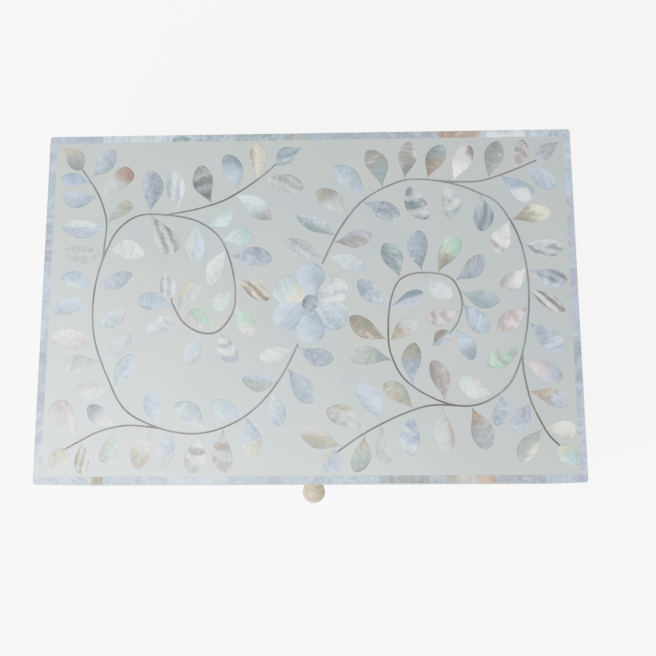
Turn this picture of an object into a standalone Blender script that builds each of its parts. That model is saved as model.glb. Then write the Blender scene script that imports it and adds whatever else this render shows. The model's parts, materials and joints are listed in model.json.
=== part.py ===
# Shell box: a lidded wooden box clad in pale resin, its lid inlaid flush with mother-of-pearl.
# Metres, +Z up. The origin is the centre of the underside. -Y is the front, where the knob is.

import math

import bmesh
import bpy
import numpy as np

# Outside sizes
BOX_LENGTH = 0.305
BOX_WIDTH = 0.203
BOX_HEIGHT = 0.102
LID_HEIGHT = 0.030
CORNER_RADIUS = 0.002
CORNER_STEPS = 4

# Boards and resin
JOINT_GAP = 0.0003
CLADDING = 0.002
WALL_BOARD = 0.008
BASE_BOARD = 0.006
LID_BOARD = 0.006
RAIL_BOARD = 0.005
GROUND = 0.0022
LIP_RISE = 0.006
CLADDING_LIFT = 0.0005

# Inlay
INLAY_DEPTH = 0.0012
BORDER_WIDTH = 0.0044
WIRE_WIDTH = 0.0010
LEAF_FULLNESS = 0.46
BUD_FULLNESS = 0.60
BUD_OVERLAP = 0.8

# A pocket's room at a leaf's tip, over its whole length and at a petal's corners, as shares of the gap
TIP_ROOM = 2.0
LEAF_ROOM = 3.0
PETAL_ROOM = 1.5

# Knob
KNOB_DIAMETER = 0.0129
KNOB_REACH = 0.0043
KNOB_OFFSET = 0.0026
KNOB_BELOW_TOP = 0.015
KNOB_SEGMENTS = 16
KNOB_RINGS = 9
KNOB_EDGE = math.radians(40)

# The inlay is drawn on a grid of one-millimetre squares, stretched to fit the field inside the border
GRID_COLUMNS = 296.2
GRID_ROWS = 194.2
WIRE_FACET = 8.5
CURVE_STEPS = 16

# Cleaning of cut and joined bodies
WELD = 0.00001
FLAT_ANGLE = math.radians(0.5)

FIELD_LENGTH = BOX_LENGTH - 2 * BORDER_WIDTH
FIELD_WIDTH = BOX_WIDTH - 2 * BORDER_WIDTH
GRID_SCALE = np.array((FIELD_LENGTH / GRID_COLUMNS, FIELD_WIDTH / GRID_ROWS))

# Levels, from the underside up
SEAM = BOX_HEIGHT - LID_HEIGHT
GROUND_BOTTOM = BOX_HEIGHT - GROUND
LID_BOARD_TOP = GROUND_BOTTOM - JOINT_GAP
LID_BOARD_BOTTOM = LID_BOARD_TOP - LID_BOARD
INLAY_BOTTOM = BOX_HEIGHT - INLAY_DEPTH
POCKET_BOTTOM = INLAY_BOTTOM - JOINT_GAP

# Half sizes of the box and of the boards behind the cladding
HALF_LENGTH = BOX_LENGTH / 2
HALF_WIDTH = BOX_WIDTH / 2
BOARD_INSET = CLADDING + JOINT_GAP
BOARD_HALF_LENGTH = HALF_LENGTH - BOARD_INSET
BOARD_HALF_WIDTH = HALF_WIDTH - BOARD_INSET

# A leaf's outline from its tip at the wire: share of its length, share of its half width
LEAF_PROFILE = ((0.62, 1.0), (1.0, 0.48))

# A petal's outline from the flower's centre outwards: distance and half width in grid squares
FLOWER_CENTRE = (1.3, -0.2)
DISC_RADIUS = 4.5
DISC_SIDES = 16
PETAL_PROFILE = ((4.95, 2.4), (9.0, 4.8), (14.0, 7.5), (18.0, 8.0), (21.5, 5.8), (23.0, 2.4))
PETALS = 6

# Joints between the border strips, in grid squares from the middle of each side
BACK_JOINTS = (-121, -80, -62, -44, -11, 0, 40, 76, 100)
FRONT_JOINTS = (-120, -113, -77, -44, 0, 39, 75, 83, 94, 103, 130)
LEFT_JOINTS = (-62, -20, 20, 60)
RIGHT_JOINTS = (-74, -66, -22, 18, 60)

# Each stem has a route through chosen grid squares and its leaves. A leaf is (how far along the stem
# it springs, the way it points in degrees from the lid's right, its length); a bud ends the stem.
LEFT_VINE = (
    {
        "route": ((-5.5, -23.6), (-9, -31), (-14.4, -41.4), (-21.7, -51.7), (-29.4, -59.8), (-40, -67.3),
                  (-54.4, -72.7), (-69, -73.6), (-86, -69.5), (-102.7, -60), (-113, -42), (-120.8, -21.8),
                  (-123, -3), (-121.3, 15.4), (-116.5, 31.2), (-109.9, 44.2), (-98, 52.4), (-81.3, 52.4),
                  (-64.7, 48.8), (-52.2, 40.1), (-45.6, 27.7), (-41.7, 10.4), (-42.5, -4.6), (-50.6, -15.9),
                  (-60.6, -16.9), (-70.8, -10.9), (-77.2, -0.1), (-77.9, 3.6)),
        "leaves": ((3, 195, 21), (2, 338, 22), (15, 305, 24), (24, 178, 20), (31, 285, 20), (50, 161, 21),
                   (50, 278, 24), (64, 271, 25), (75, 135, 23), (77, 256, 22.5), (93, 251, 20), (101, 108, 21),
                   (134, 69, 24), (137, 180, 20), (152, 50, 23), (155, 191, 24), (168, 177, 26),
                   (176, 23, 20), (187, 182, 23), (198, 161, 21), (198.5, 19, 22), (219, 178, 24),
                   (222, 352, 22), (255.5, 88, 26), (256, 302, 27), (283, 269, 25), (290.5, 28, 17),
                   (303, 8, 17), (309, 247, 23), (313, 356, 25), (327, 329, 23), (332, 228, 17),
                   (342, 300, 21), (359, 293, 21), (362, 145, 19), (370, 247, 20), (384, 196, 20),
                   (389, 57, 22), (393, 169, 21)),
        "bud": (109, 17),
    },
    {
        "route": ((-118.2, 27), (-117.6, 36.4), (-116.9, 46.4), (-118.6, 55.9), (-123.6, 67.6),
                  (-132.7, 81.2)),
        "leaves": ((18.5, 179, 26), (21.5, 40, 18), (38, 182, 22), (38, 41, 24), (47, 169, 19), (51, 49, 22)),
        "bud": (130, 19),
    },
    {
        "route": ((-84, 52.4), (-75, 53.8), (-64.4, 55.9), (-50, 60.4), (-38.3, 67), (-26.7, 75.3),
                  (-18.4, 82.8)),
        "leaves": ((9, 99, 26), (29, 108, 25), (46, 107, 24), (59.5, 92, 22.5), (44, 324, 26), (61, 346, 26)),
        "bud": (32, 18),
    },
    {
        "route": ((-82, -70.8), (-91.3, -69.6), (-101, -69), (-110, -70.4), (-118.6, -73.1),
                  (-126.5, -77.2), (-134.7, -81.7)),
        "leaves": ((5, 250, 24), (24, 148, 21), (25, 254, 21), (46.5, 126, 26), (45, 270, 19.3)),
        "bud": (232, 17),
    },
)
RIGHT_VINE = (
    {
        "route": ((8.2, 22.4), (12.4, 31.6), (19.1, 44.2), (29.1, 57.3), (40.2, 65.3), (53, 70.9),
                  (62, 72.2), (75.8, 70.9), (88.7, 67.6), (99.8, 62.7), (108.1, 58.1), (115.3, 47.8),
                  (120.9, 34.9), (124.2, 17.7), (124.6, 1), (122.6, -17), (118.4, -34), (111.4, -47.8),
                  (98.1, -57.3), (83.7, -59.2), (68, -54.2), (53.6, -43.9), (46.4, -29.5), (45.2, -15.7),
                  (46.8, 0.4), (52.5, 12.8), (65.2, 16.6), (80.9, 13.3), (87, 0.4), (84.8, -11),
                  (80.3, -17.9)),
        "leaves": ((3, 155, 25), (5, 345, 23), (14, 10, 23), (18, 150, 26), (31.5, 137, 24), (47.5, 134, 27),
                   (43.5, 337, 23), (58, 107, 25), (71.5, 81, 24), (72.5, 295, 26), (84.5, 66, 23),
                   (93.5, 286, 24), (116.5, 272, 22), (140, 248, 21), (140.5, 12, 23), (155, 352, 24),
                   (169.5, 220, 19), (171, 343, 23.2), (182, 326, 24), (192, 217, 22), (201, 320, 25),
                   (216, 204, 23), (248, 157, 22), (243.5, 259, 20), (263.5, 290, 25), (278, 103, 24),
                   (298, 88, 24), (316, 173, 25), (328, 149, 25), (327, 38, 20), (347, 139, 23),
                   (347.5, 22, 20), (364.5, 111, 23), (378, 96, 25), (379, 315, 21), (386.5, 61, 23),
                   (397, 39, 22), (404, 346, 23), (415, 194, 20), (415, 305, 22), (425.5, 299, 21)),
        "bud": (218, 14),
    },
    {
        "route": ((76, 70.9), (88.7, 70.2), (98.7, 70.5), (106.4, 72.4), (118.1, 76.6), (132.4, 82.7)),
        "leaves": ((8, 65, 24), (28, 74, 24), (35.5, 322, 22), (44.5, 72, 19), (51, 320, 21)),
        "bud": (39, 18),
    },
    {
        "route": ((119.6, -30), (120.1, -41), (122.8, -55.3), (126.7, -65.1), (132, -75.1),
                  (137.8, -81.3)),
        "leaves": ((4, 333, 24), (21.5, 342, 23), (27, 241, 20), (44, 356, 16.7), (43, 233, 23)),
        "bud": (306, 16),
    },
    {
        "route": ((84, -59.2), (70.8, -58.7), (60.2, -60.8), (45.2, -66.8), (30.2, -74.7), (16.3, -84.1)),
        "leaves": ((9, 274, 26), (25.5, 137, 22), (26.5, 267, 25), (45, 119, 25), (46, 279, 22),
                   (53.5, 152, 26), (56, 258, 21.9), (69.5, 159, 26)),
        "bud": (231, 15.5),
    },
)


def clear_scene():
    for thing in list(bpy.data.objects):
        bpy.data.objects.remove(thing, do_unlink=True)


def material(name, colour, roughness, metallic=0.0):
    made = bpy.data.materials.new(name)
    made.use_nodes = True
    shader = made.node_tree.nodes["Principled BSDF"]
    shader.inputs["Base Color"].default_value = (*colour, 1.0)
    shader.inputs["Roughness"].default_value = roughness
    shader.inputs["Metallic"].default_value = metallic
    return made


def finish_mesh(name, mesh, finish):
    """Turn a bmesh into a scene object of one closed body with its faces out."""
    bmesh.ops.recalc_face_normals(mesh, faces=mesh.faces)
    data = bpy.data.meshes.new(name)
    mesh.to_mesh(data)
    mesh.free()
    data.materials.append(finish)
    made = bpy.data.objects.new(name, data)
    bpy.context.collection.objects.link(made)
    return made


def slab(name, outlines, bottom, top, finish):
    """Extrude flat outlines, given in order round each one, from one level up to another."""
    mesh = bmesh.new()
    for outline in outlines:
        low = [mesh.verts.new((x, y, bottom)) for x, y in outline]
        high = [mesh.verts.new((x, y, top)) for x, y in outline]
        mesh.faces.new(low[::-1])
        mesh.faces.new(high)
        for here in range(len(outline)):
            after = (here + 1) % len(outline)
            mesh.faces.new((low[here], low[after], high[after], high[here]))
    return finish_mesh(name, mesh, finish)


def rectangle(x_low, x_high, y_low, y_high):
    return [(x_low, y_low), (x_high, y_low), (x_high, y_high), (x_low, y_high)]


def board(name, x_range, y_range, z_range, finish):
    return slab(name, [rectangle(*x_range, *y_range)], *z_range, finish)


def round_corner(x_sign, y_sign):
    """The box's rounded corner in plan, anticlockwise, as a list of points."""
    centre = (x_sign * (HALF_LENGTH - CORNER_RADIUS), y_sign * (HALF_WIDTH - CORNER_RADIUS))
    start = {(1, 1): 0.0, (-1, 1): 0.5, (-1, -1): 1.0, (1, -1): 1.5}[(x_sign, y_sign)] * math.pi
    turns = [start + 0.5 * math.pi * step / CORNER_STEPS for step in range(CORNER_STEPS + 1)]
    return [(centre[0] + CORNER_RADIUS * math.cos(turn), centre[1] + CORNER_RADIUS * math.sin(turn))
            for turn in turns]


def box_outline():
    return round_corner(1, 1) + round_corner(-1, 1) + round_corner(-1, -1) + round_corner(1, -1)


def merge_flat_faces(data):
    """Join the faces of a cut or joined body that lie in one plane."""
    mesh = bmesh.new()
    mesh.from_mesh(data)
    bmesh.ops.remove_doubles(mesh, verts=mesh.verts, dist=WELD)
    bmesh.ops.dissolve_limit(mesh, angle_limit=FLAT_ANGLE, verts=mesh.verts, edges=mesh.edges)
    mesh.to_mesh(data)
    mesh.free()


def combine(target, others, operation):
    """Cut or join other objects into the target, then delete them."""
    for other in others:
        other.hide_render = True
        other.display_type = "WIRE"
        modifier = target.modifiers.new(operation.lower(), "BOOLEAN")
        modifier.operation = operation
        modifier.solver = "EXACT"
        modifier.use_self = True
        modifier.object = other
    graph = bpy.context.evaluated_depsgraph_get()
    result = bpy.data.meshes.new_from_object(target.evaluated_get(graph))
    target.modifiers.clear()
    target.data = result
    merge_flat_faces(result)
    for other in others:
        bpy.data.objects.remove(other, do_unlink=True)
    return target


def ring(name, bottom, top, finish):
    """A skin of resin round the four sides."""
    inner = HALF_LENGTH - CLADDING, HALF_WIDTH - CLADDING
    shell = slab(name, [box_outline()], bottom, top, finish)
    hollow = board("hollow", (-inner[0], inner[0]), (-inner[1], inner[1]),
                   (bottom - CLADDING, top + CLADDING), finish)
    return combine(shell, [hollow], "DIFFERENCE")


def wall(name, x_range, y_range, lip_x, lip_y, finish):
    """A wall of the base whose inner edge rises past the seam as a lip that keeps the lid in place."""
    floor = BASE_BOARD + JOINT_GAP
    plank = board(name, x_range, y_range, (floor, SEAM), finish)
    lip = board("lip", lip_x, lip_y, ((floor + SEAM) / 2, SEAM + LIP_RISE), finish)
    return combine(plank, [lip], "UNION")


def build_base(wood, resin):
    board("base_board", (-BOARD_HALF_LENGTH, BOARD_HALF_LENGTH), (-BOARD_HALF_WIDTH, BOARD_HALF_WIDTH),
          (0.0, BASE_BOARD), wood)
    ring("base_cladding", CLADDING_LIFT, SEAM, resin)

    inner_x = BOARD_HALF_LENGTH - WALL_BOARD
    inner_y = BOARD_HALF_WIDTH - WALL_BOARD
    lip_x = BOARD_HALF_LENGTH - RAIL_BOARD - JOINT_GAP
    lip_y = BOARD_HALF_WIDTH - RAIL_BOARD - JOINT_GAP
    full_x = (-BOARD_HALF_LENGTH, BOARD_HALF_LENGTH)
    between_y = (-inner_y + JOINT_GAP, inner_y - JOINT_GAP)
    wall("base_wall_front", full_x, (-BOARD_HALF_WIDTH, -inner_y), (-lip_x, lip_x), (-lip_y, -inner_y), wood)
    wall("base_wall_back", full_x, (inner_y, BOARD_HALF_WIDTH), (-lip_x, lip_x), (inner_y, lip_y), wood)
    wall("base_wall_left", (-BOARD_HALF_LENGTH, -inner_x), between_y, (-lip_x, -inner_x), between_y, wood)
    wall("base_wall_right", (inner_x, BOARD_HALF_LENGTH), between_y, (inner_x, lip_x), between_y, wood)


def build_lid(wood, resin):
    full_x = (-BOARD_HALF_LENGTH, BOARD_HALF_LENGTH)
    board("lid_board", full_x, (-BOARD_HALF_WIDTH, BOARD_HALF_WIDTH), (LID_BOARD_BOTTOM, LID_BOARD_TOP), wood)
    ring("lid_cladding", SEAM + JOINT_GAP, GROUND_BOTTOM - JOINT_GAP, resin)

    rail_z = (SEAM + JOINT_GAP, LID_BOARD_BOTTOM - JOINT_GAP)
    inner_x = BOARD_HALF_LENGTH - RAIL_BOARD
    inner_y = BOARD_HALF_WIDTH - RAIL_BOARD
    between_y = (-inner_y + JOINT_GAP, inner_y - JOINT_GAP)
    board("lid_rail_front", full_x, (-BOARD_HALF_WIDTH, -inner_y), rail_z, wood)
    board("lid_rail_back", full_x, (inner_y, BOARD_HALF_WIDTH), rail_z, wood)
    board("lid_rail_left", (-BOARD_HALF_LENGTH, -inner_x), between_y, rail_z, wood)
    board("lid_rail_right", (inner_x, BOARD_HALF_LENGTH), between_y, rail_z, wood)


def smooth_curve(route):
    """A Catmull-Rom curve through the route's own points."""
    knots = np.array(route, dtype=float)
    knots = np.vstack((2 * knots[0] - knots[1], knots, 2 * knots[-1] - knots[-2]))
    curve = []
    for before, here, after, beyond in zip(knots, knots[1:], knots[2:], knots[3:]):
        for step in range(CURVE_STEPS):
            t = step / CURVE_STEPS
            curve.append(0.5 * (2 * here + (after - before) * t
                                + (2 * before - 5 * here + 4 * after - beyond) * t ** 2
                                + (3 * here - before - 3 * after + beyond) * t ** 3))
    curve.append(knots[-2])
    return np.array(curve)


def along(line, distances):
    """Points on a line of points at the given distances from its start."""
    run = np.concatenate(((0.0,), np.cumsum(np.linalg.norm(np.diff(line, axis=0), axis=1))))
    return np.column_stack([np.interp(distances, run, line[:, axis]) for axis in (0, 1)])


def nearest(point, line):
    """The nearest place to a point on a line of points."""
    starts = line[:-1]
    spans = line[1:] - starts
    shares = ((point - starts) * spans).sum(axis=1) / (spans ** 2).sum(axis=1)
    feet = starts + spans * np.clip(shares, 0.0, 1.0)[:, None]
    return feet[np.linalg.norm(feet - point, axis=1).argmin()]


def facets(route, trunk):
    """The stem's bent wire in straight facets, and the distance from the start of each one's end."""
    if trunk is not None:
        route = (nearest(np.array(route[0]), trunk),) + route[1:]
    curve = smooth_curve(route)
    length = np.linalg.norm(np.diff(curve, axis=0), axis=1).sum()
    stops = np.linspace(0.0, length, int(round(length / WIRE_FACET)) + 1)
    return along(curve, stops), stops


def ribbon_outline(line, width):
    """The outline of a flat wire of the given width along a line of points, in metres."""
    steps = np.gradient(line, axis=0)
    steps /= np.linalg.norm(steps, axis=1)[:, None]
    side = np.column_stack((-steps[:, 1], steps[:, 0])) * width / 2
    return [tuple(point) for point in line - side] + [tuple(point) for point in (line + side)[::-1]]


def leaf_outline(tip, end, fullness, grow):
    """A leaf from its pointed tip to its blunt end, in metres, widened all round by grow."""
    axis = end - tip
    length = np.linalg.norm(axis)
    forward = axis / length
    side = np.array((-forward[1], forward[0]))
    start = tip - TIP_ROOM * grow * forward
    reach = length + LEAF_ROOM * grow
    edge = [(start + forward * reach * share, side * (length * fullness / 2 * part + grow))
            for share, part in LEAF_PROFILE]
    right = [tuple(spine - half) for spine, half in edge]
    left = [tuple(spine + half) for spine, half in reversed(edge)]
    return [tuple(start)] + right + left


def heading(degrees):
    return np.array((math.cos(math.radians(degrees)), math.sin(math.radians(degrees))))


def vine(name, stems, grow, bottom, finish):
    """One scroll: the main wire, its branches and all the leaves whose tips meet them."""
    wires = []
    leaves = []
    trunk = None
    for stem in stems:
        bent, stops = facets(stem["route"], trunk)
        trunk = bent if trunk is None else trunk
        wires.append(ribbon_outline(bent * GRID_SCALE, WIRE_WIDTH + 2 * grow))
        for distance, bearing, length in stem["leaves"]:
            tip = np.array([np.interp(distance, stops, bent[:, axis]) for axis in (0, 1)])
            end = tip + length * heading(bearing)
            leaves.append(leaf_outline(tip * GRID_SCALE, end * GRID_SCALE, LEAF_FULLNESS, grow))
        bearing, length = stem["bud"]
        point = bent[-1] + length * heading(bearing)
        base = bent[-1] - BUD_OVERLAP * heading(bearing)
        leaves.append(leaf_outline(point * GRID_SCALE, base * GRID_SCALE, BUD_FULLNESS, grow))
    top = BOX_HEIGHT + (GROUND if grow else 0.0)
    stem = slab(name, wires[:1], bottom, top, finish)
    extra = [slab("branch", [outline], bottom, top, finish) for outline in wires[1:]]
    extra.append(slab("leaves", leaves, bottom, top, finish))
    return combine(stem, extra, "UNION")


def petal_outline(number, grow):
    """One petal, counted anticlockwise from the one that points to the back."""
    forward = heading(90 + 360 / PETALS * number)
    side = np.array((-forward[1], forward[0]))
    centre = np.array(FLOWER_CENTRE)
    right = [centre + forward * reach - side * half for reach, half in PETAL_PROFILE]
    left = [centre + forward * reach + side * half for reach, half in reversed(PETAL_PROFILE)]
    return widen(np.array(right + left) * GRID_SCALE, grow)


def disc_outline(grow):
    turns = [360 / DISC_SIDES * step for step in range(DISC_SIDES)]
    points = [np.array(FLOWER_CENTRE) + DISC_RADIUS * heading(turn) for turn in turns]
    return widen(np.array(points) * GRID_SCALE, grow)


def widen(outline, grow):
    """Move every corner of an outline away from its middle."""
    middle = outline.mean(axis=0)
    away = outline - middle
    reach = np.linalg.norm(away, axis=1)[:, None]
    return [tuple(point) for point in middle + away * (1 + PETAL_ROOM * grow / reach)]


def strip_outlines():
    """Name and outline of each border strip. The side strips meet the back corners, the front ones both."""
    edge_x = HALF_LENGTH - BORDER_WIDTH
    edge_y = HALF_WIDTH - BORDER_WIDTH
    scale_x, scale_y = GRID_SCALE
    gap = JOINT_GAP / 2
    strips = {}

    stops = [-edge_x] + [joint * scale_x for joint in BACK_JOINTS] + [edge_x]
    for number, (low, high) in enumerate(zip(stops, stops[1:]), start=1):
        strips[f"border_back_{number}"] = rectangle(low + gap, high - gap, edge_y, HALF_WIDTH)

    stops = [-HALF_LENGTH] + [joint * scale_x for joint in FRONT_JOINTS] + [HALF_LENGTH]
    for number, (low, high) in enumerate(zip(stops, stops[1:]), start=1):
        outline = rectangle(low + gap, high - gap, -HALF_WIDTH, -edge_y)
        if number == 1:
            outline = round_corner(-1, -1) + outline[1:]
            outline = outline[:-1] + [(-HALF_LENGTH, -edge_y)]
        if number == len(stops) - 1:
            outline = outline[:1] + round_corner(1, -1) + [(HALF_LENGTH, -edge_y)] + outline[3:]
        strips[f"border_front_{number}"] = outline

    for side, sign, joints in (("left", -1, LEFT_JOINTS), ("right", 1, RIGHT_JOINTS)):
        stops = [-edge_y] + [joint * scale_y for joint in joints] + [HALF_WIDTH]
        x_low, x_high = sorted((sign * edge_x, sign * HALF_LENGTH))
        for number, (low, high) in enumerate(zip(stops, stops[1:]), start=1):
            outline = rectangle(x_low, x_high, low + gap, high - gap)
            if number == len(stops) - 1:
                rounded = round_corner(sign, 1)
                inner = (sign * edge_x, HALF_WIDTH)
                crown = rounded + [inner] if sign > 0 else [inner] + rounded
                outline = outline[:2] + crown
            strips[f"border_{side}_{number}"] = outline
    return strips


def build_inlay(shell):
    vine("vine_left", LEFT_VINE, 0.0, INLAY_BOTTOM, shell)
    vine("vine_right", RIGHT_VINE, 0.0, INLAY_BOTTOM, shell)
    for number in range(PETALS):
        slab(f"petal_{number + 1}", [petal_outline(number, 0.0)], INLAY_BOTTOM, BOX_HEIGHT, shell)
    slab("flower_centre", [disc_outline(0.0)], INLAY_BOTTOM, BOX_HEIGHT, shell)
    for name, outline in strip_outlines().items():
        slab(name, [outline], INLAY_BOTTOM, BOX_HEIGHT, shell)


def build_ground(resin):
    """The lid's resin: a full plate under the border, a field inside it, and a pocket for each inlay."""
    above = BOX_HEIGHT + GROUND
    field_x = HALF_LENGTH - BORDER_WIDTH - JOINT_GAP
    field_y = HALF_WIDTH - BORDER_WIDTH - JOINT_GAP
    plate = slab("lid_ground", [box_outline()], GROUND_BOTTOM, POCKET_BOTTOM, resin)
    field = board("field", (-field_x, field_x), (-field_y, field_y),
                  ((GROUND_BOTTOM + POCKET_BOTTOM) / 2, BOX_HEIGHT), resin)
    combine(plate, [field], "UNION")
    pockets = [vine("pocket", stems, JOINT_GAP, POCKET_BOTTOM, resin) for stems in (LEFT_VINE, RIGHT_VINE)]
    petals = [petal_outline(number, JOINT_GAP) for number in range(PETALS)]
    pockets += [slab("pocket", [outline], POCKET_BOTTOM, above, resin) for outline in petals]
    pockets.append(slab("pocket", [disc_outline(JOINT_GAP)], POCKET_BOTTOM, above, resin))
    combine(plate, pockets, "DIFFERENCE")


def build_knob(bone):
    """A ball with a flat back against the lid's front face."""
    radius = KNOB_DIAMETER / 2
    mesh = bmesh.new()
    bmesh.ops.create_uvsphere(mesh, u_segments=KNOB_SEGMENTS, v_segments=KNOB_RINGS, radius=radius)
    geometry = list(mesh.verts) + list(mesh.edges) + list(mesh.faces)
    cut = bmesh.ops.bisect_plane(mesh, geom=geometry, plane_co=(0, KNOB_REACH - JOINT_GAP, 0),
                                 plane_no=(0, 1, 0), clear_outer=True)
    rim = [part for part in cut["geom_cut"] if isinstance(part, bmesh.types.BMEdge)]
    bmesh.ops.contextual_create(mesh, geom=rim)
    knob = finish_mesh("knob", mesh, bone)
    knob.location = (KNOB_OFFSET, -HALF_WIDTH - KNOB_REACH, BOX_HEIGHT - KNOB_BELOW_TOP)
    knob.data.shade_smooth()
    knob.data.set_sharp_from_angle(angle=KNOB_EDGE)


def build():
    clear_scene()
    wood = material("wood", (0.46, 0.33, 0.21), 0.6)
    resin = material("resin", (0.58, 0.60, 0.61), 0.25)
    shell = material("shell", (0.42, 0.50, 0.60), 0.2)
    bone = material("bone", (0.72, 0.62, 0.46), 0.35)
    build_base(wood, resin)
    build_lid(wood, resin)
    build_ground(resin)
    build_inlay(shell)
    build_knob(bone)


build()
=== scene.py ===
# Dresses the shell box: resin ground, mother-of-pearl leaves, petals and border strips, wire stems,
# bone knob and wooden boards. Metres, +Z up, -Y is the front.

import json
import math

import bmesh
import bpy
import numpy as np
from mathutils import Matrix, Vector

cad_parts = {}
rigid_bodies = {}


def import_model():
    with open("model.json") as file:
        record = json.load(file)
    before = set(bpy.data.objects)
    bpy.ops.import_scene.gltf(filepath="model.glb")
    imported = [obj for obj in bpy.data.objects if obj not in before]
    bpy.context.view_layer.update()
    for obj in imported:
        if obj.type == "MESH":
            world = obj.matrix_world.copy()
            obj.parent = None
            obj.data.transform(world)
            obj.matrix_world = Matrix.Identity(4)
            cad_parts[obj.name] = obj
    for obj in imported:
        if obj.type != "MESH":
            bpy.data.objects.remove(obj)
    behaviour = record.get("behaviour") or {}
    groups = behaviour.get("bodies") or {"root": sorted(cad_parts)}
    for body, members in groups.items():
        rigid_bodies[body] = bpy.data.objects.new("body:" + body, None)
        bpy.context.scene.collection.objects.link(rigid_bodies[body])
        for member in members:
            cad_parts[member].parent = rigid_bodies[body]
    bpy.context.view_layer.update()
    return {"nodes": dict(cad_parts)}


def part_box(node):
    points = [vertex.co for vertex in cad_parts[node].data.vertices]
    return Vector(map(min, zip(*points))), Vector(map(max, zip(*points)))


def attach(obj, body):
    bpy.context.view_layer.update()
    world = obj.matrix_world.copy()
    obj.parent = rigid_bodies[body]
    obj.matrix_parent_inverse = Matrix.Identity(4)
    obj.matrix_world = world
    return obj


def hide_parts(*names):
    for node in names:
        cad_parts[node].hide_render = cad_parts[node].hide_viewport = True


MM = 0.001

# Sizes of the lid's inlay, as in the solids but for the wider wires, the fuller leaves and the longer petals.
# The grid's squares are about 1 mm wide. The petals, the disc and the leaves are given in mm.
BORDER_WIDTH = 4.4 * MM
GRID_COLUMNS = 296.2
GRID_ROWS = 194.2
WIRE_WIDTH = 1.3 * MM
WIRE_DEPTH = 0.12 * MM
WIRE_STEPS = 10
FLAT_TOP = math.radians(20)
FLOWER_CENTRE = (1.3, -0.2)
PETAL_START = 4.6
PETAL_LENGTH = 18.7
PETAL_WIDTH = 16.4
PETAL_FOOT = 0.5
PETAL_GAP = 0.06
DISC_RADIUS = 4.6
LEAF_FULLNESS = 1.06
PETALS = 6

# How far below the wires, at the lid's top, each layer is polished, so that no two lie in one plane
SHELL_DROP = 0.02 * MM
RESIN_DROP = 0.05 * MM
JOINT_DROP = 0.08 * MM
SHELL_DEPTH = 1.0 * MM

# The skins' outer faces lie this far inside the solids' box, and the inlay on the sides is flush with them
SKIN_INSET = 0.05 * MM
CORNER_RADIUS = 2.0 * MM
INNER_RADIUS = 0.1 * MM
FIELD_RADIUS = 0.2 * MM
FIELD_GAP = 0.12 * MM
SKIN_DEPTH = 2.0 * MM
EDGE_WEAR = 0.25 * MM
SHARP_EDGE = math.radians(40)

# Sides: strips along the base's and the lid's edges, and a plain running vine on the base, in mm
SIDE_STRIP = 4.4
SIDE_STRIP_RUN = 33.0
SIDE_STRIP_JOINT = 0.15
SIDE_WAVE = 64.0
SIDE_SWING = 8.5
SIDE_LEAF_STEP = 12.5
SIDE_LEAF = (17.0, 7.6)
SIDE_LEAF_LEAN = 48
SIDE_END = 22.0
SIDE_SHADES = (("sky", "ice", "clouds"), ("lavender", "steel", "clouds"), ("mint", "sky", "split"),
               ("pearl", "lavender", "tip"), ("mist", "steel", "streaks"), ("sage", "khaki", "cap"),
               ("ice", "pearl", "clouds"), ("rose", "mist", "cap"), ("steel", "mist", "bands"))

# The base's bottom board and the cloth glued under it
BOARD_RADIUS = 0.5 * MM
FELT_DEPTH = 0.5 * MM
FELT_INSET = 4.0 * MM
FELT_RADIUS = 3.0 * MM

# How a surface's share of light comes out on screen, and how brightly the lid is lit
SCREEN_TOP = 262
SCREEN_SLOPE = 3.03
SCREEN_POWER = 1.42
LID_LIGHT = 2.1

# Colours by name, as seen in plain daylight, red, green and blue out of 255
SHADES = {
    "sky": (194, 208, 220), "ice": (211, 224, 233), "pearl": (230, 234, 238),
    "mist": (184, 194, 202), "steel": (170, 182, 194), "blue": (178, 193, 210),
    "slate": (150, 162, 170), "lavender": (190, 200, 212), "lilac": (184, 187, 199),
    "mint": (204, 225, 218), "aqua": (188, 218, 216), "teal": (160, 178, 178),
    "sage": (184, 194, 188), "grey": (174, 178, 180), "silver": (204, 208, 209),
    "olive": (172, 172, 156), "khaki": (190, 186, 166), "tan": (188, 178, 164),
    "brown": (173, 161, 147), "amber": (180, 158, 138), "peach": (212, 196, 180),
    "rose": (213, 206, 209), "cream": (224, 220, 204), "mauve": (177, 173, 174),
    "smoke": (136, 140, 140), "stone": (160, 160, 154), "bark": (140, 126, 116),
    # rim: the dark of the split seams and of the leaves' edge lines, which painted shade deepens
    "wire": (157, 159, 162), "wire brown": (149, 139, 131), "rim": (112, 116, 120),
    # The resin's painted shade and painted light tones darken the back right of the ground and lighten its
    # front left.
    "resin cool": (196, 203, 204), "resin green": (201, 207, 202), "resin painted shade": (191, 197, 197),
    "resin warm": (202, 204, 205), "resin painted light": (213, 217, 221), "white": (238, 241, 243),
    "green": (186, 216, 200), "knob light": (204, 196, 172), "knob dark": (194, 182, 152),
}

# How the second shade lies on a leaf: at its far end, at its tip, on one half, along one edge,
# in bands across, in streaks along, or in soft clouds
FIGURES = ("cap", "tip", "split", "rim", "bands", "streaks", "clouds")

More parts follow.
